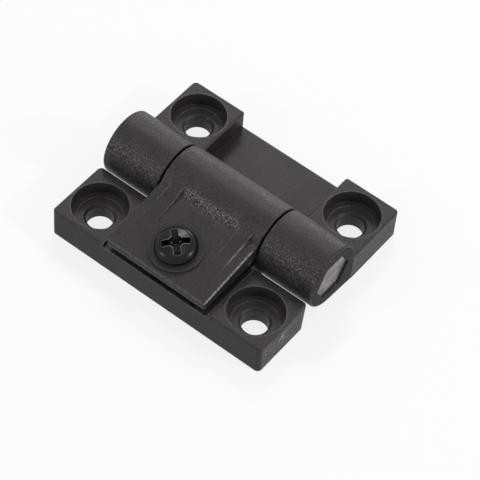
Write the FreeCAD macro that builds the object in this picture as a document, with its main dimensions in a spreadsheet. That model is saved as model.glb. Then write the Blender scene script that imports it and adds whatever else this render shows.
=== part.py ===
import FreeCAD, Part
import math
import os
import Sketcher

# Torque hinge: two moulded leaves turn on one steel shaft. The front leaf ends in a split
# clamp that grips the shaft, and a screw draws the clamp's arm down to set the friction.
# X runs along the shaft, +Y points to the rear leaf, +Z up, and the origin is on the
# mounting plane under the middle of the shaft. Lengths are millimetres, angles degrees.

SIZES = {
    # Outline of the open hinge
    "overall_length": 42.0,
    "overall_height": 12.0,
    "leaf_reach": 18.0,
    "leaf_inset": 0.1,
    "pad_height": 5.65,
    "corner_round": 0.8,
    "inner_round": 0.45,
    "top_chamfer": 0.3,
    # Barrels round the shaft
    "barrel_radius": 5.65,
    "barrel_clearance": 0.95,
    "pad_lean": 0.52,
    "web_step": 0.35,
    "web_overlap": 0.2,
    "barrel_end_round": 0.5,
    "centre_length": 19.5,
    "knuckle_gap": 0.4,
    "gap_edge_round": 0.2,
    # Clamp arm on the front leaf
    "pad_side_step": 0.27,
    "base_step": 0.65,
    "slot_height": 1.3,
    "arm_thickness": 1.2,
    "arm_setback": 0.1,
    "arm_slope": 8.0,
    "arm_corner_round": 0.4,
    "arm_edge_round": 0.25,
    "rib_ledge": 1.65,
    "rib_width": 2.5,
    "rib_setback": 3.5,
    "rib_slope": 10.0,
    "rib_blend": 9.0,
    # Recess of the rear leaf, which takes the arm when the hinge is shut
    "floor_thickness": 1.7,
    # Mounting holes
    "hole_offset": 0.1,
    "hole_diameter": 4.5,
    "hole_chamfer": 0.4,
    "counterbore_diameter": 9.3,
    "counterbore_depth": 2.6,
    "seat_diameter": 7.4,
    "seat_depth": 0.25,
    # Shaft, with a hexagonal end in the right knuckle and a round one in the left
    "shaft_diameter": 6.8,
    "shaft_flats": 7.0,
    "shaft_recess": 0.35,
    "shaft_chamfer": 0.5,
    "blind_wall": 1.5,
    "running_clearance": 0.04,
    "seat_clearance": 0.02,
    # Adjusting screw
    "screw_from_edge": 5.3,
    "screw_diameter": 3.5,
    "screw_length": 8.0,
    "screw_point": 0.6,
    "head_diameter": 6.9,
    "head_edge": 0.55,
    "head_height": 1.9,
    "crown_diameter": 4.6,
    "crown_drop": 0.35,
    "crown_radius": 12.0,
    "shoulder_radius": 1.6,
    "cross_span": 4.7,
    "cross_foot": 1.5,
    "cross_width": 1.1,
    "cross_depth": 2.2,
    "cross_rim_depth": 0.3,
    "cross_core": 2.2,
    "cross_core_depth": 1.5,
    "cross_turn": 46.0,
    # Washer under the screw's head
    "washer_diameter": 8.9,
    "washer_thickness": 0.4,
    "washer_chamfer": 0.08,
    "screw_hole_clearance": 0.15,
    # Nut in the underside of the front leaf
    "nut_flats": 6.0,
    "nut_thickness": 2.2,
    "nut_seat_height": 2.9,
    "nut_chamfer": 0.3,
    "nut_clearance": 0.05,
    "thread_clearance": 0.04,
}

MARGIN = 1.0  # how far a cutting outline runs past the skin that it cuts


class Size:
    """A number kept together with the sheet formula that it comes from."""

    def __init__(self, value, formula):
        self.value = value
        self.formula = formula

    def __add__(self, other):
        other = as_size(other)
        return Size(self.value + other.value, f"({self.formula} + {other.formula})")

    def __sub__(self, other):
        other = as_size(other)
        return Size(self.value - other.value, f"({self.formula} - {other.formula})")

    def __mul__(self, other):
        other = as_size(other)
        return Size(self.value * other.value, f"({self.formula} * {other.formula})")

    def __truediv__(self, other):
        other = as_size(other)
        return Size(self.value / other.value, f"({self.formula} / {other.formula})")

    def __neg__(self):
        return Size(-self.value, f"(0 - {self.formula})")


def as_size(number):
    return number if isinstance(number, Size) else Size(float(number), f"({float(number)})")


def root(size):
    return Size(math.sqrt(size.value), f"sqrt({size.formula})")


def sine(angle):
    return Size(math.sin(math.radians(angle.value)), f"sin({angle.formula} * 1 deg)")


def cosine(angle):
    return Size(math.cos(math.radians(angle.value)), f"cos({angle.formula} * 1 deg)")


def tangent(angle):
    return sine(angle) / cosine(angle)


class Plan:
    """Every driving size by name, and the places worked out from them."""

    def __init__(self):
        for name, value in SIZES.items():
            setattr(self, name, Size(float(value), f"sizes.{name}"))
        self.half_length = self.overall_length / 2
        self.leaf_end = self.half_length - self.leaf_inset
        self.leaf_edge = self.barrel_radius + self.barrel_clearance
        self.shaft_height = self.overall_height - self.barrel_radius
        self.web_foot = self.barrel_radius + self.web_step
        self.half_centre = self.centre_length / 2
        self.gap_side = self.half_centre + self.knuckle_gap
        self.pad_inner = self.gap_side + self.pad_side_step
        self.base_height = self.pad_height - self.base_step
        self.arm_base = self.base_height + self.slot_height
        self.arm_front = self.leaf_reach - self.arm_setback
        self.arm_root = self.barrel_radius / 2
        self.hole_along = (self.pad_inner + self.leaf_end) / 2
        self.hole_reach = (self.leaf_edge + self.leaf_reach) / 2 + self.hole_offset
        self.screw_reach = self.leaf_reach - self.screw_from_edge
        self.screw_foot = self.arm_top(self.screw_reach)
        self.nut_depth = (self.screw_foot - self.nut_seat_height) / cosine(self.arm_slope)

    def arm_top(self, reach):
        """Height of the arm's sloping top at this distance in front of the shaft."""
        front = self.arm_base + self.arm_thickness
        return front + (self.arm_front - reach) * tangent(self.arm_slope)

    def rib_top(self, reach):
        """Height of a rib's top at this distance in front of the shaft."""
        rib_front = self.leaf_reach - self.rib_setback
        return self.arm_top(rib_front) + (rib_front - reach) * tangent(self.rib_slope)


def write_sheet(doc):
    sheet = doc.addObject("Spreadsheet::Sheet", "sizes")
    for row, (name, value) in enumerate(SIZES.items(), 1):
        sheet.set(f"A{row}", name)
        sheet.set(f"B{row}", str(value))
        sheet.setAlias(f"B{row}", name)


def bind(thing, target, size):
    thing.setExpression(target, as_size(size).formula)


def new_body(doc, label):
    body = doc.addObject("PartDesign::Body", label)
    body.Label = label
    return body


def new_sketch(body, name, role, lift=0, shift=0, turn=None, about=(1, 0, 0)):
    """A sketch on the body's own origin plane, lifted off it, shifted along its second
    axis and turned about one of its own axes."""
    sketch = body.newObject("Sketcher::SketchObject", name)
    plane = next(item for item in body.Origin.OriginFeatures if item.Role == role)
    sketch.AttachmentSupport = (plane, [""])
    sketch.MapMode = "FlatFace"
    if turn is not None:
        rotation = FreeCAD.Rotation(FreeCAD.Vector(*about), turn.value)
        sketch.AttachmentOffset = FreeCAD.Placement(FreeCAD.Vector(), rotation)
        bind(sketch, "AttachmentOffset.Rotation.Angle", turn)
    bind(sketch, "AttachmentOffset.Base.y", shift)
    bind(sketch, "AttachmentOffset.Base.z", lift)
    return sketch


def point(x, y):
    return FreeCAD.Vector(as_size(x).value, as_size(y).value, 0)


def pin_point(sketch, piece, end, x, y):
    """Ties one point of the sketch to its two coordinates."""
    for kind, place in (("DistanceX", as_size(x)), ("DistanceY", as_size(y))):
        index = sketch.addConstraint(Sketcher.Constraint(kind, -1, 1, piece, end, place.value))
        bind(sketch, f"Constraints[{index}]", place)


def draw_outline(sketch, corners, arcs=None):
    """A closed outline of lines, counterclockwise, with an arc after the corners that arcs
    names by number, each with its radius: a hollow arc where that is negative."""
    arcs = arcs or {}
    first = sketch.GeometryCount
    count = len(corners)
    for index in range(count):
        start = point(*corners[index])
        end = point(*corners[(index + 1) % count])
        if index in arcs:
            radius = arcs[index].value
            chord = end - start
            sag = abs(radius) - math.sqrt(radius ** 2 - (chord.Length / 2) ** 2)
            outward = FreeCAD.Vector(chord.y, -chord.x, 0).normalize()
            middle = (start + end) * 0.5 + outward * math.copysign(sag, radius)
            sketch.addGeometry(Part.Arc(start, middle, end))
        else:
            sketch.addGeometry(Part.LineSegment(start, end))
    hollows = {index for index, bend in arcs.items() if bend.value < 0}
    begins = [2 if index in hollows else 1 for index in range(count)]
    for index in range(count):
        following = (index + 1) % count
        sketch.addConstraint(Sketcher.Constraint(
            "Coincident", first + index, 3 - begins[index], first + following, begins[following]
        ))
    for index, (x, y) in enumerate(corners):
        pin_point(sketch, first + index, begins[index], x, y)
    for index, bend in arcs.items():
        radius = -bend if index in hollows else bend
        place = sketch.addConstraint(Sketcher.Constraint("Radius", first + index, radius.value))
        bind(sketch, f"Constraints[{place}]", radius)


def draw_rectangle(sketch, low, high):
    draw_outline(sketch, [low, (high[0], low[1]), high, (low[0], high[1])])


def draw_circle(sketch, x, y, radius):
    radius = as_size(radius)
    piece = sketch.addGeometry(Part.Circle(point(x, y), FreeCAD.Vector(0, 0, 1), radius.value))
    pin_point(sketch, piece, 3, x, y)
    index = sketch.addConstraint(Sketcher.Constraint("Radius", piece, radius.value))
    bind(sketch, f"Constraints[{index}]", radius)


def draw_hexagon(sketch, x, y, flats):
    """A hexagon with two corners on the sketch's first axis."""
    corner = flats / math.sqrt(3)
    half = flats / 2
    draw_outline(sketch, [
        (x + corner, y), (x + corner / 2, y + half), (x - corner / 2, y + half),
        (x - corner, y), (x - corner / 2, y - half), (x + corner / 2, y - half),
    ])


def add_pad(body, sketch, length, symmetric=False):
    pad = body.newObject("PartDesign::Pad", sketch.Name + "_pad")
    pad.Profile = sketch
    pad.SideType = "Symmetric" if symmetric else "One side"
    bind(pad, "Length", length)
    return pad


def add_pocket(body, sketch, length, symmetric=False, upward=False):
    """A pocket, which cuts against the sketch's normal, or along it where it is upward."""
    pocket = body.newObject("PartDesign::Pocket", sketch.Name + "_pocket")
    pocket.Profile = sketch
    pocket.SideType = "Symmetric" if symmetric else "One side"
    pocket.Reversed = upward
    bind(pocket, "Length", length)
    return pocket


def add_revolution(body, sketch, axis):
    """A full turn about one of the sketch's own axes."""
    turned = body.newObject("PartDesign::Revolution", sketch.Name + "_turned")
    turned.Profile = sketch
    turned.ReferenceAxis = (sketch, [axis])
    turned.Angle = 360
    return turned


def dress_edges(body, kind, name, target, size, chosen):
    """A fillet or chamfer on those edges of the body so far that are chosen."""
    body.Document.recompute()
    tip = body.Tip
    names = [f"Edge{i}" for i, edge in enumerate(tip.Shape.Edges, 1) if chosen(edge)]
    if not names:
        raise ValueError(f"{body.Label}: {name} finds no edge")
    feature = body.newObject(kind, name)
    feature.Base = (tip, names)
    bind(feature, target, size)
    return feature


def add_fillet(body, name, radius, chosen):
    return dress_edges(body, "PartDesign::Fillet", name, "Radius", radius, chosen)


def add_chamfer(body, name, size, chosen):
    return dress_edges(body, "PartDesign::Chamfer", name, "Size", size, chosen)


def near(value, size):
    return abs(value - as_size(size).value) < 1e-4


def lies_at(edge, axis, size):
    """Whether the whole edge lies in the plane where axis, 0 to 2, has this value."""
    box = edge.BoundBox
    low = (box.XMin, box.YMin, box.ZMin)[axis]
    high = (box.XMax, box.YMax, box.ZMax)[axis]
    return near(low, size) and near(high, size)


def is_upright(edge):
    return edge.BoundBox.XLength < 1e-4 and edge.BoundBox.YLength < 1e-4


def web_tangent(s):
    """Where the underside of a web, rising from its foot, touches the barrel: the distance
    past the shaft, away from the foot, and the height."""
    span = root(s.web_foot * s.web_foot + s.shaft_height * s.shaft_height)
    reach = root(span * span - s.barrel_radius * s.barrel_radius)
    rise = (s.shaft_height * reach - s.web_foot * s.barrel_radius) / span
    run = (s.web_foot * reach + s.shaft_height * s.barrel_radius) / span
    return run * reach / span - s.web_foot, rise * reach / span


def rib_blend_ends(s):
    """Where the hollow blend between a rib's top and the barrel begins, on the rib, and where
    it ends, on the barrel. Lengths are first taken along the rib's top and square to it."""
    start = s.leaf_reach - s.rib_setback
    drop = s.rib_top(start) - s.shaft_height
    ahead = start * cosine(s.rib_slope) - drop * sine(s.rib_slope)
    below = start * sine(s.rib_slope) + drop * cosine(s.rib_slope)
    span = s.barrel_radius + s.rib_blend
    rise = below + s.rib_blend
    run = root(span * span - rise * rise)
    share = s.barrel_radius / span
    on_rib = ahead - run
    return (
        (on_rib * cosine(s.rib_slope) - start, s.rib_top(start) + on_rib * sine(s.rib_slope)),
        (-(run * cosine(s.rib_slope) + rise * sine(s.rib_slope)) * share,
         s.shaft_height + (rise * cosine(s.rib_slope) - run * sine(s.rib_slope)) * share),
    )


def cut_mounting_holes(body, s, side):
    """Two holes with stepped counterbores, in front of the shaft where side is -1 and behind
    it at 1."""
    reach = s.hole_reach * side
    counterbore = new_sketch(body, "counterbores", "XY_Plane", lift=s.pad_height)
    seat = new_sketch(body, "screw_seats", "XY_Plane", lift=s.pad_height)
    through = new_sketch(body, "screw_holes", "XY_Plane")
    for end in (-1, 1):
        along = s.hole_along * end
        draw_circle(counterbore, along, reach, s.counterbore_diameter / 2)
        draw_circle(seat, along, reach, s.seat_diameter / 2)
        draw_circle(through, along, reach, s.hole_diameter / 2)
    seat_floor = s.counterbore_depth + s.seat_depth
    add_pocket(body, counterbore, s.counterbore_depth)
    add_pocket(body, seat, seat_floor)
    add_pocket(body, through, s.pad_height, upward=True)
    ledge = s.pad_height - seat_floor
    add_chamfer(
        body, "hole_chamfers", s.hole_chamfer,
        lambda edge: lies_at(edge, 2, ledge) and near(edge.BoundBox.XLength, s.hole_diameter),
    )


def add_arm(body, s):
    """The clamp's arm with its two ribs, as far as the middle of the barrel's wall."""
    arm = new_sketch(body, "clamp_arm", "YZ_Plane")
    draw_outline(arm, [
        (-s.arm_front, s.arm_base), (-s.arm_root, s.arm_base),
        (-s.arm_root, s.arm_top(s.arm_root)), (-s.arm_front, s.arm_top(s.arm_front)),
    ])
    add_pad(body, arm, s.centre_length, symmetric=True)
    add_fillet(
        body, "arm_corners", s.arm_corner_round,
        lambda edge: is_upright(edge) and lies_at(edge, 1, -s.arm_front),
    )
    add_fillet(
        body, "arm_edges", s.arm_edge_round,
        lambda edge: edge.CenterOfMass.z > s.arm_top(s.arm_front).value - 1e-4
        and not lies_at(edge, 1, -s.arm_root),
    )
    start = s.leaf_reach - s.rib_setback + MARGIN
    foot = s.arm_base + s.arm_thickness / 2
    on_rib, on_barrel = rib_blend_ends(s)
    for side in (-1, 1):
        inner = s.half_centre - s.rib_ledge - s.rib_width
        lift = inner if side > 0 else -(inner + s.rib_width)
        rib = new_sketch(body, f"{'left' if side < 0 else 'right'}_rib", "YZ_Plane", lift=lift)
        draw_outline(rib, [
            (-start, foot), (0, foot), (0, on_barrel[1]), on_barrel, on_rib,
            (-start, s.rib_top(start)),
        ], {3: -s.rib_blend})
        add_pad(body, rib, s.rib_width)


def add_clamp_barrel(body, s):
    """The middle barrel, turned about the shaft, with rounded ends."""
    profile = new_sketch(body, "clamp_barrel", "XZ_Plane", shift=s.shaft_height)
    ends = s.half_centre - s.gap_edge_round
    rim = s.barrel_radius - s.gap_edge_round
    draw_outline(profile, [
        (-s.half_centre, 0), (s.half_centre, 0), (s.half_centre, rim), (ends, s.barrel_radius),
        (-ends, s.barrel_radius), (-s.half_centre, rim),
    ], {2: s.gap_edge_round, 4: s.gap_edge_round})
    add_revolution(body, profile, "H_Axis")


def make_front_leaf(doc, s):
    """The front leaf: two pads, and between them the split clamp with its barrel and arm."""
    body = new_body(doc, "front_leaf")
    add_arm(body, s)
    add_clamp_barrel(body, s)

    tangent_run, tangent_rise = web_tangent(s)
    web = new_sketch(body, "clamp_web", "YZ_Plane")
    draw_outline(web, [
        (-s.leaf_reach, 0), (-s.web_foot, 0), (tangent_run, tangent_rise),
        (0, s.shaft_height), (0, s.base_height), (-s.leaf_reach, s.base_height),
    ])
    add_pad(body, web, s.centre_length, symmetric=True)
    plate = new_sketch(body, "pads", "YZ_Plane")
    draw_outline(plate, [
        (-s.leaf_reach, 0), (-s.leaf_edge, 0), (s.pad_lean - s.leaf_edge, s.pad_height),
        (-s.leaf_reach, s.pad_height),
    ])
    add_pad(body, plate, s.leaf_end * 2, symmetric=True)
    add_fillet(
        body, "pad_corners", s.corner_round,
        lambda edge: near(edge.BoundBox.ZLength, s.pad_height)
        and near(abs(edge.CenterOfMass.x), s.leaf_end),
    )

    slot = new_sketch(body, "clamp_slot", "YZ_Plane")
    draw_rectangle(slot, (-s.leaf_reach - MARGIN, s.base_height), (0, s.arm_base))
    add_pocket(body, slot, s.pad_inner * 2, symmetric=True)
    bore = new_sketch(body, "clamp_bore", "YZ_Plane")
    draw_circle(bore, 0, s.shaft_height, s.shaft_diameter / 2 + s.running_clearance)
    add_pocket(body, bore, s.centre_length + MARGIN, symmetric=True)
    add_chamfer(
        body, "pad_edges", s.top_chamfer,
        lambda edge: lies_at(edge, 2, s.pad_height)
        and not near(abs(edge.CenterOfMass.x), s.pad_inner),
    )
    cut_mounting_holes(body, s, -1)
    cut_screw_passage(body, s)
    return body


def cut_screw_passage(body, s):
    """The hole for the adjusting screw, square to the arm's top, and its nut's pocket."""
    hole = new_sketch(
        body, "adjusting_hole", "XY_Plane", lift=s.screw_foot, shift=-s.screw_reach, turn=s.arm_slope
    )
    draw_circle(hole, 0, 0, s.screw_diameter / 2 + s.screw_hole_clearance)
    add_pocket(body, hole, s.screw_foot / cosine(s.arm_slope) + MARGIN)
    seat_reach = s.screw_reach - s.nut_depth * sine(s.arm_slope)
    seat = new_sketch(
        body, "nut_pocket", "XY_Plane", lift=s.nut_seat_height, shift=-seat_reach, turn=s.arm_slope
    )
    draw_hexagon(seat, as_size(0), as_size(0), s.nut_flats + s.nut_clearance * 2)
    add_pocket(body, seat, s.nut_seat_height + MARGIN)


def draw_rear_pad(sketch, s, front, side):
    """Plan of one raised pad of the rear leaf, on the left where side is -1."""
    inner, outer, back = s.pad_inner, s.leaf_end, s.leaf_reach
    corners = [
        (inner, front), (outer, front),
        (outer, back - s.corner_round), (outer - s.corner_round, back),
        (inner + s.inner_round, back), (inner, back - s.inner_round),
    ]
    arcs = {2: s.corner_round, 4: s.inner_round}
    if side < 0:
        corners = [(-x, y) for x, y in reversed(corners)]
        arcs = {len(corners) - 2 - index: radius for index, radius in arcs.items()}
    draw_outline(sketch, corners, arcs)


def make_rear_leaf(doc, s):
    """The rear leaf: two knuckles and two raised pads, with a recess for the arm between."""
    body = new_body(doc, "rear_leaf")
    barrel = new_sketch(body, "knuckle_barrels", "YZ_Plane")
    draw_circle(barrel, 0, s.shaft_height, s.barrel_radius)
    add_pad(body, barrel, s.overall_length, symmetric=True)
    tangent_run, tangent_rise = web_tangent(s)
    web = new_sketch(body, "knuckle_webs", "YZ_Plane")
    draw_outline(web, [
        (s.web_foot, 0), (s.web_foot, s.pad_height), (0, s.pad_height),
        (-tangent_run, tangent_rise),
    ])
    add_pad(body, web, s.overall_length, symmetric=True)
    add_fillet(
        body, "knuckle_ends", s.barrel_end_round,
        lambda edge: lies_at(edge, 0, s.half_length) or lies_at(edge, 0, -s.half_length),
    )

    floor = new_sketch(body, "recess_floor", "XY_Plane")
    draw_rectangle(floor, (-s.pad_inner - MARGIN, s.leaf_edge), (s.pad_inner + MARGIN, s.leaf_reach))
    add_pad(body, floor, s.floor_thickness)
    for side in (-1, 1):
        word = "left" if side < 0 else "right"
        block = new_sketch(body, f"{word}_pad", "XY_Plane")
        draw_rear_pad(block, s, s.web_foot - s.web_overlap, side)
        add_pad(body, block, s.pad_height - s.top_chamfer)
        cap = new_sketch(body, f"{word}_pad_top", "XY_Plane", lift=s.pad_height - s.top_chamfer)
        draw_rear_pad(cap, s, s.web_foot - s.top_chamfer * 2, side)
        add_pad(body, cap, s.top_chamfer).TaperAngle = -45

    opening = new_sketch(body, "clamp_opening", "YZ_Plane")
    draw_rectangle(opening, (-s.barrel_radius - MARGIN, -MARGIN), (s.leaf_edge, s.overall_height + MARGIN))
    add_pocket(body, opening, s.gap_side * 2, symmetric=True)
    socket = new_sketch(body, "hexagon_socket", "YZ_Plane", lift=s.half_centre)
    draw_hexagon(socket, as_size(0), s.shaft_height, s.shaft_flats + s.seat_clearance * 2)
    add_pocket(body, socket, s.half_length, upward=True)
    blind = new_sketch(body, "blind_bore", "YZ_Plane", lift=-s.half_centre)
    draw_circle(blind, 0, s.shaft_height, s.shaft_diameter / 2 + s.seat_clearance)
    add_pocket(body, blind, s.half_length - s.half_centre - s.blind_wall)
    add_fillet(
        body, "gap_edges", s.gap_edge_round,
        lambda edge: (lies_at(edge, 0, s.gap_side) or lies_at(edge, 0, -s.gap_side))
        and edge.BoundBox.ZMax > s.overall_height.value - 1e-3,
    )
    cut_mounting_holes(body, s, 1)
    return body


def make_shaft(doc, s):
    """The steel shaft about its own axis: round from the left, a hexagon at the right."""
    body = new_body(doc, "hinge_shaft")
    round_end = s.half_length - s.blind_wall - s.seat_clearance
    rod = new_sketch(body, "round_part", "YZ_Plane", lift=-round_end)
    draw_circle(rod, 0, 0, s.shaft_diameter / 2)
    add_pad(body, rod, round_end + s.gap_side)
    add_chamfer(body, "lead_in", s.shaft_chamfer, lambda edge: lies_at(edge, 0, -round_end))
    head = new_sketch(body, "hexagon_end", "YZ_Plane", lift=s.gap_side)
    draw_hexagon(head, as_size(0), as_size(0), s.shaft_flats)
    add_pad(body, head, s.half_length - s.shaft_recess - s.gap_side)
    body.Placement = FreeCAD.Placement(FreeCAD.Vector(0, 0, s.shaft_height.value), FreeCAD.Rotation())
    bind(body, "Placement.Base.z", s.shaft_height)
    return body


def place_on_arm(body, s, lift):
    """Stands a body square on the arm's sloping top, at the screw, lifted off it."""
    across = -(s.screw_reach + lift * sine(s.arm_slope))
    up = s.screw_foot + lift * cosine(s.arm_slope)
    tilt = FreeCAD.Rotation(FreeCAD.Vector(1, 0, 0), s.arm_slope.value)
    body.Placement = FreeCAD.Placement(FreeCAD.Vector(0, across.value, up.value), tilt)
    bind(body, "Placement.Base.y", across)
    bind(body, "Placement.Base.z", up)
    bind(body, "Placement.Rotation.Angle", s.arm_slope)


def make_screw(doc, s):
    """The adjusting screw, with the underside of its pan head at its own zero height."""
    body = new_body(doc, "adjusting_screw")
    profile = new_sketch(body, "screw_profile", "XZ_Plane")
    shank = s.screw_diameter / 2
    rim = s.head_diameter / 2
    crown = s.crown_diameter / 2
    corners = [
        (0, -s.screw_length), (shank - s.screw_point, -s.screw_length),
        (shank, s.screw_point - s.screw_length), (shank, 0), (rim, 0), (rim, s.head_edge),
        (crown, s.head_height - s.crown_drop), (0, s.head_height),
    ]
    draw_outline(profile, corners, {5: s.shoulder_radius, 6: s.crown_radius})
    add_revolution(body, profile, "V_Axis")
    half_foot = s.cross_foot / 2
    half_span = s.cross_span / 2
    floor = s.head_height - s.cross_depth
    rim_height = s.head_height - s.cross_rim_depth
    for name, turn in (("first_slot", s.cross_turn), ("second_slot", s.cross_turn + 90)):
        slot = new_sketch(body, name, "XZ_Plane", turn=turn, about=(0, 1, 0))
        draw_outline(slot, [
            (-half_foot, floor), (half_foot, floor), (half_span, rim_height),
            (half_span, s.head_height + MARGIN), (-half_span, s.head_height + MARGIN),
            (-half_span, rim_height),
        ])
        add_pocket(body, slot, s.cross_width, symmetric=True)
    core = new_sketch(body, "recess_core", "XY_Plane", lift=s.head_height)
    draw_circle(core, 0, 0, s.cross_core / 2)
    add_pocket(body, core, s.cross_core_depth)
    place_on_arm(body, s, s.washer_thickness)
    return body


def make_washer(doc, s):
    """The thin washer between the screw's head and the arm."""
    body = new_body(doc, "screw_washer")
    ring = new_sketch(body, "washer_ring", "XY_Plane")
    draw_circle(ring, 0, 0, s.washer_diameter / 2)
    draw_circle(ring, 0, 0, s.screw_diameter / 2 + s.screw_hole_clearance)
    add_pad(body, ring, s.washer_thickness)
    add_chamfer(
        body, "washer_edge", s.washer_chamfer,
        lambda edge: lies_at(edge, 2, s.washer_thickness)
        and edge.BoundBox.XLength > s.screw_diameter.value * 1.5,
    )
    place_on_arm(body, s, as_size(0))
    return body


def make_nut(doc, s):
    """The nut pressed into the underside of the front leaf, hanging from its own seat."""
    body = new_body(doc, "clamp_nut")
    outline = new_sketch(body, "nut_outline", "XY_Plane")
    draw_hexagon(outline, as_size(0), as_size(0), s.nut_flats)
    draw_circle(outline, 0, 0, s.screw_diameter / 2 + s.thread_clearance)
    add_pad(body, outline, s.nut_thickness).Reversed = True
    add_chamfer(
        body, "thread_lead_in", s.nut_chamfer,
        lambda edge: lies_at(edge, 2, -s.nut_thickness)
        and near(edge.BoundBox.XLength, s.screw_diameter + s.thread_clearance * 2),
    )
    place_on_arm(body, s, -s.nut_depth)
    return body


def export_parts(doc, bodies):
    """Checks every object and every solid, then writes one file for each sub-part."""
    doc.recompute()
    for item in doc.Objects:
        if "Invalid" in item.State or "Error" in item.State:
            raise ValueError(f"{item.Name} failed: {item.State}")
    for body in bodies:
        if body.Shape.isNull() or not body.Shape.isValid():
            raise ValueError(f"{body.Label} has no valid shape")
    os.makedirs("parts", exist_ok=True)
    for body in bodies:
        body.Shape.exportStep(f"parts/{body.Label}.step")
        box = body.Shape.BoundBox
        print(body.Label, len(body.Shape.Solids), round(body.Shape.Volume, 2), box)


document = FreeCAD.newDocument("torque_hinge")
write_sheet(document)
document.recompute()
plan = Plan()
makers = (make_front_leaf, make_rear_leaf, make_shaft, make_screw, make_washer, make_nut)
export_parts(document, [maker(document, plan) for maker in makers])
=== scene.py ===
import math
import bpy
from mathutils import Matrix, Vector

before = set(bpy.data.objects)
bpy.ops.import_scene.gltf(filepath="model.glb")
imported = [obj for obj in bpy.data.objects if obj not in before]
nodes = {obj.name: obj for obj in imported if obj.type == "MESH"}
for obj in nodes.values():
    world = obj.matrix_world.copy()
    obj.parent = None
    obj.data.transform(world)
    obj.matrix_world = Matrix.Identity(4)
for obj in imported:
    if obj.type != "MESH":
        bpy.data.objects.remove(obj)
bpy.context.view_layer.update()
MM = 0.001

# The camera, fitted to the photograph: angles in degrees, distances in metres, lens and sensor in
# millimetres
CAMERA_AZIMUTH = 33.85
CAMERA_ELEVATION = 52.44
CAMERA_ROLL = 5.58
CAMERA_DISTANCE = 0.3685
CAMERA_SIDE = 2.443 * MM
CAMERA_LIFT = -1.329 * MM
CAMERA_LENS = 172.56
CAMERA_NEAREST = 0.01
SENSOR_WIDTH = 36.0

# The lamps: name, place, width in metres and power in watts, all pointing at LAMP_AIM
LAMPS = (
    ("key_lamp", (-0.30, 0.45, 0.55), 0.16, 1.37),
    ("top_lamp", (0.05, -0.05, 0.80), 0.40, 0.63),
    ("side_lamp", (0.58, 0.18, 0.36), 0.08, 1.63),
    ("front_lamp", (-0.38, -0.55, 0.33), 0.065, 1.0),
    ("back_lamp", (-0.20, 0.72, 0.15), 0.20, 0.95),
)
LAMP_AIM = (0, 0, 0.005)

# The world's light on surfaces, and how bright the camera and mirrors see it
AMBIENT_LIGHT = 0.45
BACKGROUND_LIGHT = 1.0
BACKGROUND_COLOUR = (1, 1, 1, 1)

# The floor, with the share of it that glows white for the camera and mirrors
FLOOR_WIDTH = 3.0
FLOOR_COLOUR = (0.9, 0.9, 0.9, 1)
FLOOR_ROUGHNESS = 0.9
FLOOR_GLOW = 1.0
FLOOR_GLOW_SHARE = 0.8

# Places on the leaves in millimetres: x along the shaft, y across it and z up from the mounting
# plane. The arm's top slopes down to its front.
PAD_END = 20.9
RIB_OUTER = 8.1
RIB_INNER = 5.6
# Where the painted highlight runs along the right rib's outer edge
RIB_HIGHLIT_EDGE = RIB_OUTER - 0.08
HOLE_X = 15.66
HOLE_Y = 12.4
GATE_SCAR = (PAD_END, -12.1, 3.3)
ARM_HALF = 9.75
ARM_FRONT = -17.9
ARM_FRONT_TOP = 7.5
ARM_SLOPE = math.tan(math.radians(8.0))
ARM_TOP_OVER_SHAFT = ARM_FRONT_TOP - ARM_FRONT * ARM_SLOPE

# Where the plastic's finish changes, in millimetres: a change's start and end, then its values
# there unless they are 0 and 1
BARREL_FRONT = (-6.2, -5.4)
BARREL_BACK = (6.2, 5.4)
BARREL_FOOT = (5.0, 6.5)
BARREL_END = (PAD_END, PAD_END - 0.2)
KNUCKLE_START = (9.5, 11.0)
KNUCKLE_LOW_TOP = (-3.0, -4.3, 0.0, 0.26)
KNUCKLE_LOW_FOOT = (-5.5, -4.7, 0.15, 1.0)
BARREL_FLANK = (-1.0, -3.2, 0.03, 0.13)
BAND_SIDE = (RIB_INNER + 0.2, RIB_INNER - 0.6, 0.0, 0.90)
BAND_TOP = (-3.3, -4.1)
BAND_FOOT = (-5.1, -4.5)
KNUCKLE_END_FACE = (PAD_END + 0.04, PAD_END + 0.07)
PAD_END_FACE = (PAD_END - 0.05, PAD_END - 0.02)
LEAF_OUTER_FACE = (17.75, 17.95)
COUNTERBORE_RIM = (4.75, 4.60, 0.0, 0.55)
SCAR_RIM = (1.25, 0.95)
ARM_SKIN = (0.30, 0.18)
ARM_SIDE_START = (ARM_HALF - 0.30, ARM_HALF - 0.18)
ARM_SIDE_END = (ARM_HALF + 0.10, ARM_HALF + 0.05)
ARM_BEFORE_BARREL = (-5.6, -6.4)
RIB_EDGE_WIDTH = (0.20, 0.08)
RIB_EDGE_FRONT = (-11.5, -9.0, 0.0, 0.6)
RIB_EDGE_SKIN = (0.12, 0.02)
ARM_LIP = (-17.60, -17.74, 0.0, 0.28)
ARM_LIP_END = (ARM_HALF + 0.05, ARM_HALF - 0.05)

# The part that counts of a noise's range from 0 to 1
NOISE_MIDDLE = (0.35, 0.65)
NOISE_WIDE = (0.3, 0.7)

# What noises and sharp edges turn into: from, to, and the values there unless they are 0 and 1
BLOTCH_TONE = (*NOISE_MIDDLE, 0.0, 0.4)
BLOTCH_ROUGHNESS = (*NOISE_WIDE, 0.44, 0.52)
GRAIN_TONE = (0.35, 0.68, 0.0, 0.6)
SPARKLE_PEAKS = (0.47, 0.66)
# The next two break the painted edge highlights and the gate scar into patches, and turn sharp
# edges into painted highlight
SPARKLE_PATCHES = (0.42, 0.62, 0.15, 1.0)
EDGE_HIGHLIGHT_RANGE = (0.12, 0.7, 0.0, 0.5)
SCAR_CHIPS = (0.46, 0.56)
SHAFT_ROUGHNESS = (*NOISE_WIDE, 0.28, 0.45)
ZINC_ROUGHNESS = (*NOISE_WIDE, 0.3, 0.45)
# Painted highlight on the coating's sharp edges
COATING_EDGE_HIGHLIGHT_RANGE = (0.2, 0.6)
COATING_ROUGHNESS_RANGE = 0.08
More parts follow.
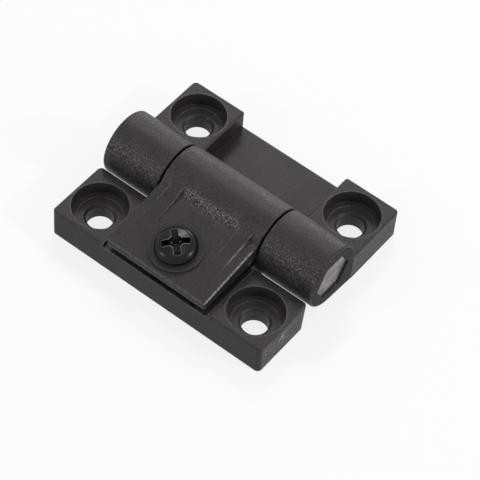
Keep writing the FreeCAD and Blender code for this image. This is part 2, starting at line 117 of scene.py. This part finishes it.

# What some places add to the plastic's tone, grain and roughness; the tone they add is painted
# shade on the end, front and back faces and low on the knuckles' fronts
FACE_PAINTED_SHADE = -0.55
KNUCKLE_LOW_PAINTED_SHADE = -3.0
PAD_END_GRAIN = 0.27
KNUCKLE_END_ROUGHNESS = 0.22
PEAK_ROUGHNESS = -0.15

# Colours, in linear values of red, green and blue
PLASTIC_DARK = (0.0070, 0.0062, 0.0066)
PLASTIC_LIGHT = (0.0260, 0.0236, 0.0249)
# Painted light inside the counterbores
PLASTIC_COUNTERBORE_PAINTED_LIGHT = (0.045, 0.042, 0.0435)
# Painted glint on the grain's peaks
PLASTIC_PAINTED_GLINT = (0.30, 0.285, 0.285)
# Painted highlight along the edges, and the gate scar's paler colour
PLASTIC_EDGE_HIGHLIGHT_AND_SCAR = (0.330, 0.318, 0.320)
SHAFT_DARK = (0.13, 0.12, 0.118)
SHAFT_LIGHT = (0.26, 0.245, 0.24)
SCREW_DARK = (0.0010, 0.0010, 0.0010)
SCREW_LIGHT = (0.0025, 0.0023, 0.0025)
WASHER_DARK = (0.012, 0.0107, 0.0113)
WASHER_LIGHT = (0.019, 0.0173, 0.018)
# Painted highlight on the coating's edges
COATING_EDGE_HIGHLIGHT = (0.20, 0.195, 0.20)
ZINC_DARK = (0.45, 0.45, 0.44)
ZINC_LIGHT = (0.62, 0.62, 0.60)
PLASTIC_GLOSS_TINT = (1.0, 0.93, 0.98, 1.0)
COATING_GLOSS_TINT = (1.0, 0.94, 0.97, 1.0)


class Nodes:
    """The nodes of a material or a world."""

    def __init__(self, owner):
        owner.use_nodes = True
        self.tree = owner.node_tree

    def add(self, kind, **settings):
        node = self.tree.nodes.new(kind)
        for name, value in settings.items():
            setattr(node, name, value)
        return node

    def link(self, output, socket):
        self.tree.links.new(output, socket)

    def spread(self, value, start, end, at_start=0.0, at_end=1.0):
        """The value from start to end, mapped to at_start to at_end and held beyond them."""
        node = self.add("ShaderNodeMapRange")
        node.inputs["From Min"].default_value = start
        node.inputs["From Max"].default_value = end
        node.inputs["To Min"].default_value = at_start
        node.inputs["To Max"].default_value = at_end
        self.link(value, node.inputs["Value"])
        return node.outputs["Result"]

    def math(self, operation, *values):
        node = self.add("ShaderNodeMath", operation=operation)
        for socket, value in zip(node.inputs, values):
            if isinstance(value, (int, float)):
                socket.default_value = value
            else:
                self.link(value, socket)
        return node.outputs["Value"]

    def product(self, total, *values):
        for value in values:
            total = self.math("MULTIPLY", total, value)
        return total

    def largest(self, total, *values):
        for value in values:
            total = self.math("MAXIMUM", total, value)
        return total

    def seen_as_white(self):
        """1 for rays from the camera, and for mirrored and transmitted ones, or else 0."""
        path = self.add("ShaderNodeLightPath")
        return self.largest(path.outputs["Is Camera Ray"], path.outputs["Is Glossy Ray"],
                            path.outputs["Is Transmission Ray"])


class Finish(Nodes):
    """A piece's material."""

    def __init__(self, name):
        self.material = bpy.data.materials.new(name)
        super().__init__(self.material)
        self.surface = self.tree.nodes["Principled BSDF"]
        self.place = self.add("ShaderNodeTexCoord").outputs["Object"]

    def set(self, **values):
        for name, value in values.items():
            self.surface.inputs[name.replace("_", " ")].default_value = value

    def drive(self, name, value):
        self.link(value, self.surface.inputs[name])

    def noise(self, size, detail=2.0, roughness=0.5):
        """Soft noise whose lumps measure about size, in metres."""
        node = self.add("ShaderNodeTexNoise")
        node.inputs["Scale"].default_value = 1 / size
        node.inputs["Detail"].default_value = detail
        node.inputs["Roughness"].default_value = roughness
        self.link(self.place, node.inputs["Vector"])
        return node.outputs["Fac"]

    def colours(self, value, first, second):
        """Mixes two colours, each written out or from a node, by a value from 0 to 1."""
        node = self.add("ShaderNodeMix", data_type="RGBA")
        for name, colour in (("A", first), ("B", second)):
            if isinstance(colour, tuple):
                node.inputs[name].default_value = (*colour, 1)
            else:
                self.link(colour, node.inputs[name])
        self.link(value, node.inputs["Factor"])
        return node.outputs["Result"]

    def axes(self):
        node = self.add("ShaderNodeSeparateXYZ")
        self.link(self.place, node.inputs["Vector"])
        return [node.outputs[name] for name in "XYZ"]

    def distance(self, point):
        """The distance from a point given in millimetres, in metres."""
        node = self.add("ShaderNodeVectorMath", operation="DISTANCE")
        self.link(self.place, node.inputs[0])
        node.inputs[1].default_value = [coordinate * MM for coordinate in point]
        return node.outputs["Value"]

    def fade(self, length, start, end, *levels):
        """Like spread, but of a length, with start and end in millimetres."""
        return self.spread(length, start * MM, end * MM, *levels)

    def edges(self, reach):
        """1 at a sharp outer edge, falling to 0 at this distance from it."""
        node = self.add("ShaderNodeAmbientOcclusion", samples=8, inside=True, only_local=True)
        node.inputs["Distance"].default_value = reach
        return self.math("SUBTRACT", 1.0, node.outputs["AO"])

    def rounded(self, radius):
        """The normal as if the edges were rounded."""
        node = self.add("ShaderNodeBevel", samples=6)
        node.inputs["Radius"].default_value = radius
        return node.outputs["Normal"]

    def bump(self, height, distance, strength=1.0, under=None):
        node = self.add("ShaderNodeBump")
        node.inputs["Distance"].default_value = distance
        if isinstance(strength, (int, float)):
            node.inputs["Strength"].default_value = strength
        else:
            self.link(strength, node.inputs["Strength"])
        self.link(height, node.inputs["Height"])
        if under is not None:
            self.link(under, node.inputs["Normal"])
        return node.outputs["Normal"]


def barrel_masks(finish, outward, across, height):
    """How coarse the grain and its painted glints are, from 0 to 1: low on the knuckles' fronts
    alone, on all the barrels' flanks, and in the band low on the middle barrel between the ribs.
    The first also sets painted shade low on the knuckles' fronts."""
    barrel = finish.product(finish.fade(across, *BARREL_FRONT), finish.fade(across, *BARREL_BACK),
                            finish.fade(height, *BARREL_FOOT), finish.fade(outward, *BARREL_END))
    knuckle_low = finish.product(barrel, finish.fade(outward, *KNUCKLE_START),
                                 finish.fade(across, *KNUCKLE_LOW_TOP),
                                 finish.fade(across, *KNUCKLE_LOW_FOOT))
    flank = finish.math("MULTIPLY_ADD", barrel, finish.fade(across, *BARREL_FLANK), knuckle_low)
    band = finish.product(barrel, finish.fade(outward, *BAND_SIDE),
                          finish.fade(across, *BAND_TOP), finish.fade(across, *BAND_FOOT))
    return knuckle_low, flank, band


def counterbore_painted_light(finish, outward, endward):
    """How far the plastic is lightened by painted light inside the mounting holes' counterbores,
    from 0 to 1.
    """
    sideways = finish.math("SUBTRACT", outward, HOLE_X * MM)
    lengthways = finish.math("SUBTRACT", endward, HOLE_Y * MM)
    square = finish.math("MULTIPLY_ADD", sideways, sideways, finish.product(lengthways, lengthways))
    return finish.fade(finish.math("SQRT", square), *COUNTERBORE_RIM)


def arm_edge_highlights(finish, along, outward, across, height):
    """How much painted highlight lies along the clamp arm's right edge, its right rib's outer edge
    and its front lip, from 0 to 1."""
    top = finish.math("MULTIPLY_ADD", across, ARM_SLOPE, ARM_TOP_OVER_SHAFT * MM)
    depth = finish.math("SUBTRACT", top, height)
    skin = finish.fade(depth, *ARM_SKIN)
    ahead = finish.fade(across, *ARM_BEFORE_BARREL)
    side = finish.product(skin, finish.fade(along, *ARM_SIDE_START),
                          finish.fade(along, *ARM_SIDE_END), ahead)
    from_rib = finish.math("ABSOLUTE", finish.math("SUBTRACT", along, RIB_HIGHLIT_EDGE * MM))
    rib = finish.product(finish.fade(from_rib, *RIB_EDGE_WIDTH),
                         finish.fade(across, *RIB_EDGE_FRONT), ahead,
                         finish.fade(depth, *RIB_EDGE_SKIN))
    lip = finish.product(finish.fade(across, *ARM_LIP), finish.fade(outward, *ARM_LIP_END), skin)
    return finish.largest(side, rib, lip)


def moulded_plastic():
    """Black moulded plastic with a spark-eroded grain, coarser on the barrels' fronts and
    coarsest on the middle barrel between the ribs, with painted glints on the grain's peaks,
    painted highlights along its edges, a paler gate scar, painted shade on its end, front and back
    faces and low on the knuckles' fronts, and painted light in the counterbores."""
    finish = Finish("black_plastic")
    along, across, height = finish.axes()
    outward = finish.math("ABSOLUTE", along)
    endward = finish.math("ABSOLUTE", across)
    grain = finish.noise(size=0.30 * MM, detail=2.0, roughness=0.6)
    sparkle = finish.noise(size=0.27 * MM, detail=2.0, roughness=0.7)
    blotches = finish.noise(size=3.5 * MM, detail=3.0)
    chips = finish.noise(size=0.8 * MM, detail=3.0, roughness=0.6)

    knuckle_low, flank, band = barrel_masks(finish, outward, across, height)
    knuckle_end = finish.fade(outward, *KNUCKLE_END_FACE)
    pad_end = finish.math("SUBTRACT", finish.fade(outward, *PAD_END_FACE), knuckle_end)
    shaded_faces = finish.largest(knuckle_end, pad_end, finish.fade(endward, *LEAF_OUTER_FACE))
    scar = finish.fade(finish.distance(GATE_SCAR), *SCAR_RIM)
    coarse = finish.largest(band, flank, finish.product(pad_end, PAD_END_GRAIN))
    # Painted glints on the coarse grain's peaks, which also get a lower roughness
    glint_peaks = finish.product(coarse, finish.spread(sparkle, *SPARKLE_PEAKS))

    tone = finish.math("ADD", finish.spread(blotches, *BLOTCH_TONE),
                       finish.spread(grain, *GRAIN_TONE))
    # Painted shade darkens the end faces and the leaves' front and back faces
    tone = finish.math("MULTIPLY_ADD", shaded_faces, FACE_PAINTED_SHADE, tone)
    # Painted shade darkens the knuckles' fronts low down towards the pads
    tone = finish.math("MULTIPLY_ADD", knuckle_low, KNUCKLE_LOW_PAINTED_SHADE, tone)
    colour = finish.colours(tone, PLASTIC_DARK, PLASTIC_LIGHT)
    # Painted light inside the counterbores
    colour = finish.colours(counterbore_painted_light(finish, outward, endward), colour, PLASTIC_COUNTERBORE_PAINTED_LIGHT)
    colour = finish.colours(glint_peaks, colour, PLASTIC_PAINTED_GLINT)

    # Painted highlights along the sharp edges and the arm's right edge, rib and lip, with the gate
    # scar's paler chips, broken into patches
    edges = finish.math("SUBTRACT", finish.spread(finish.edges(reach=0.45 * MM), *EDGE_HIGHLIGHT_RANGE),
                        knuckle_end)
    brightened = finish.largest(edges, arm_edge_highlights(finish, along, outward, across, height),
                          finish.product(scar, finish.spread(chips, *SCAR_CHIPS)))
    brightened = finish.product(brightened, finish.spread(sparkle, *SPARKLE_PATCHES))
    finish.drive("Base Color", finish.colours(brightened, colour, PLASTIC_EDGE_HIGHLIGHT_AND_SCAR))

    matt = finish.spread(blotches, *BLOTCH_ROUGHNESS)
    matt = finish.math("MULTIPLY_ADD", knuckle_end, KNUCKLE_END_ROUGHNESS, matt)
    matt = finish.math("MULTIPLY_ADD", glint_peaks, PEAK_ROUGHNESS, matt)
    finish.drive("Roughness", matt)
    finish.set(Specular_IOR_Level=0.29, Specular_Tint=PLASTIC_GLOSS_TINT)

    relief = finish.rounded(radius=0.15 * MM)
    relief = finish.bump(grain, distance=0.055 * MM, strength=0.8, under=relief)
    relief = finish.bump(sparkle, distance=0.16 * MM, strength=coarse, under=relief)
    relief = finish.bump(chips, distance=0.6 * MM, strength=scar, under=relief)
    finish.drive("Normal", relief)
    return finish.material


def brushed_steel():
    """The shaft's steel, with fine scratches left by drawing and sawing."""
    finish = Finish("shaft_steel")
    stain = finish.noise(size=1.6 * MM, detail=3.0)
    scratch = finish.noise(size=0.25 * MM, detail=2.0)
    finish.set(Metallic=1.0)
    finish.drive("Base Color", finish.colours(finish.spread(stain, *NOISE_MIDDLE),
                                              SHAFT_DARK, SHAFT_LIGHT))
    finish.drive("Roughness", finish.spread(scratch, *SHAFT_ROUGHNESS))
    finish.drive("Normal", finish.bump(scratch, distance=0.012 * MM, strength=0.6,
                                       under=finish.rounded(radius=0.1 * MM)))
    return finish.material


def black_coated_steel(name, roughness, gloss, dark, light):
    """Steel with a black coating and painted highlights at its edges, as on the screw and its
    washer.
    """
    finish = Finish(name)
    stain = finish.noise(size=0.9 * MM, detail=3.0)
    orange_peel = finish.noise(size=0.3 * MM, detail=1.0)
    # Painted highlight along the coating's edges
    brightened = finish.spread(finish.edges(reach=0.25 * MM), *COATING_EDGE_HIGHLIGHT_RANGE)
    coating = finish.colours(stain, dark, light)
    finish.drive("Base Color", finish.colours(brightened, coating, COATING_EDGE_HIGHLIGHT))
    finish.drive("Roughness", finish.spread(stain, *NOISE_WIDE, at_start=roughness,
                                            at_end=roughness + COATING_ROUGHNESS_RANGE))
    finish.set(Specular_IOR_Level=gloss, Specular_Tint=COATING_GLOSS_TINT)
    finish.drive("Normal", finish.bump(orange_peel, distance=0.005 * MM, strength=0.5,
                                       under=finish.rounded(radius=0.1 * MM)))
    return finish.material


def zinc_steel():
    """The nut's zinc coating."""
    finish = Finish("nut_zinc")
    stain = finish.noise(size=0.8 * MM, detail=3.0)
    finish.set(Metallic=1.0)
    finish.drive("Base Color", finish.colours(stain, ZINC_DARK, ZINC_LIGHT))
    finish.drive("Roughness", finish.spread(stain, *ZINC_ROUGHNESS))
    finish.drive("Normal", finish.bump(finish.noise(size=0.15 * MM), distance=0.004 * MM,
                                       strength=0.5))
    return finish.material


def dress(node, material):
    """Gives a CAD node this material alone."""
    slots = nodes[node].data.materials
    slots.clear()
    slots.append(material)


def make_floor():
    """A plain white floor that keeps a soft shadow."""
    bpy.ops.mesh.primitive_plane_add(size=FLOOR_WIDTH)
    floor = bpy.context.object
    floor.name = "studio_floor"
    material = bpy.data.materials.new("floor_white")
    shading = Nodes(material)
    surface = shading.tree.nodes["Principled BSDF"]
    surface.inputs["Base Color"].default_value = FLOOR_COLOUR
    surface.inputs["Roughness"].default_value = FLOOR_ROUGHNESS
    surface.inputs["Specular IOR Level"].default_value = 0.0
    glow = shading.add("ShaderNodeEmission")
    glow.inputs["Strength"].default_value = FLOOR_GLOW
    mix = shading.add("ShaderNodeMixShader")
    shading.link(shading.product(shading.seen_as_white(), FLOOR_GLOW_SHARE), mix.inputs["Fac"])
    shading.link(surface.outputs["BSDF"], mix.inputs[1])
    shading.link(glow.outputs["Emission"], mix.inputs[2])
    shading.link(mix.outputs["Shader"], shading.tree.nodes["Material Output"].inputs["Surface"])
    floor.data.materials.append(material)


def make_world():
    """A soft ambient light, which the camera and mirrors see as plain white."""
    world = bpy.data.worlds.new("studio")
    bpy.context.scene.world = world
    shading = Nodes(world)
    background = shading.tree.nodes["Background"]
    background.inputs["Color"].default_value = BACKGROUND_COLOUR
    strength = shading.spread(shading.seen_as_white(), start=0.0, end=1.0,
                              at_start=AMBIENT_LIGHT, at_end=BACKGROUND_LIGHT)
    shading.link(strength, background.inputs["Strength"])


def add_lamp(name, place, width, power):
    light = bpy.data.lights.new(name, "AREA")
    light.size = width
    light.energy = power
    lamp = bpy.data.objects.new(name, light)
    bpy.context.scene.collection.objects.link(lamp)
    lamp.location = place
    towards = Vector(LAMP_AIM) - Vector(place)
    lamp.rotation_euler = towards.to_track_quat("-Z", "Y").to_euler()


def make_camera():
    """The photograph's camera: azimuth 0 looks along +y, and the roll leans it to its left."""
    azimuth = math.radians(CAMERA_AZIMUTH)
    elevation = math.radians(CAMERA_ELEVATION)
    roll = math.radians(CAMERA_ROLL)
    back = Vector((math.sin(azimuth) * math.cos(elevation),
                   -math.cos(azimuth) * math.cos(elevation), math.sin(elevation)))
    level = Vector((math.cos(azimuth), math.sin(azimuth), 0))
    upward = back.cross(level)
    right = math.cos(roll) * level + math.sin(roll) * upward
    up = math.cos(roll) * upward - math.sin(roll) * level
    data = bpy.data.cameras.new("camera")
    data.sensor_width = SENSOR_WIDTH
    data.lens = CAMERA_LENS
    data.clip_start = CAMERA_NEAREST
    camera = bpy.data.objects.new("camera", data)
    bpy.context.scene.collection.objects.link(camera)
    place = back * CAMERA_DISTANCE + right * CAMERA_SIDE + up * CAMERA_LIFT
    turn = Matrix((right, up, back)).transposed().to_4x4()
    camera.matrix_world = Matrix.Translation(place) @ turn
    bpy.context.scene.camera = camera


plastic = moulded_plastic()
dress("front_leaf", plastic)
dress("rear_leaf", plastic)
dress("hinge_shaft", brushed_steel())
dress("adjusting_screw", black_coated_steel("screw_black", roughness=0.24, gloss=0.24,
                                            dark=SCREW_DARK, light=SCREW_LIGHT))
dress("screw_washer", black_coated_steel("washer_black", roughness=0.42, gloss=0.23,
                                         dark=WASHER_DARK, light=WASHER_LIGHT))
dress("clamp_nut", zinc_steel())

make_floor()
make_world()
for lamp in LAMPS:
    add_lamp(*lamp)
make_camera()
bpy.context.scene.view_settings.view_transform = "Standard"
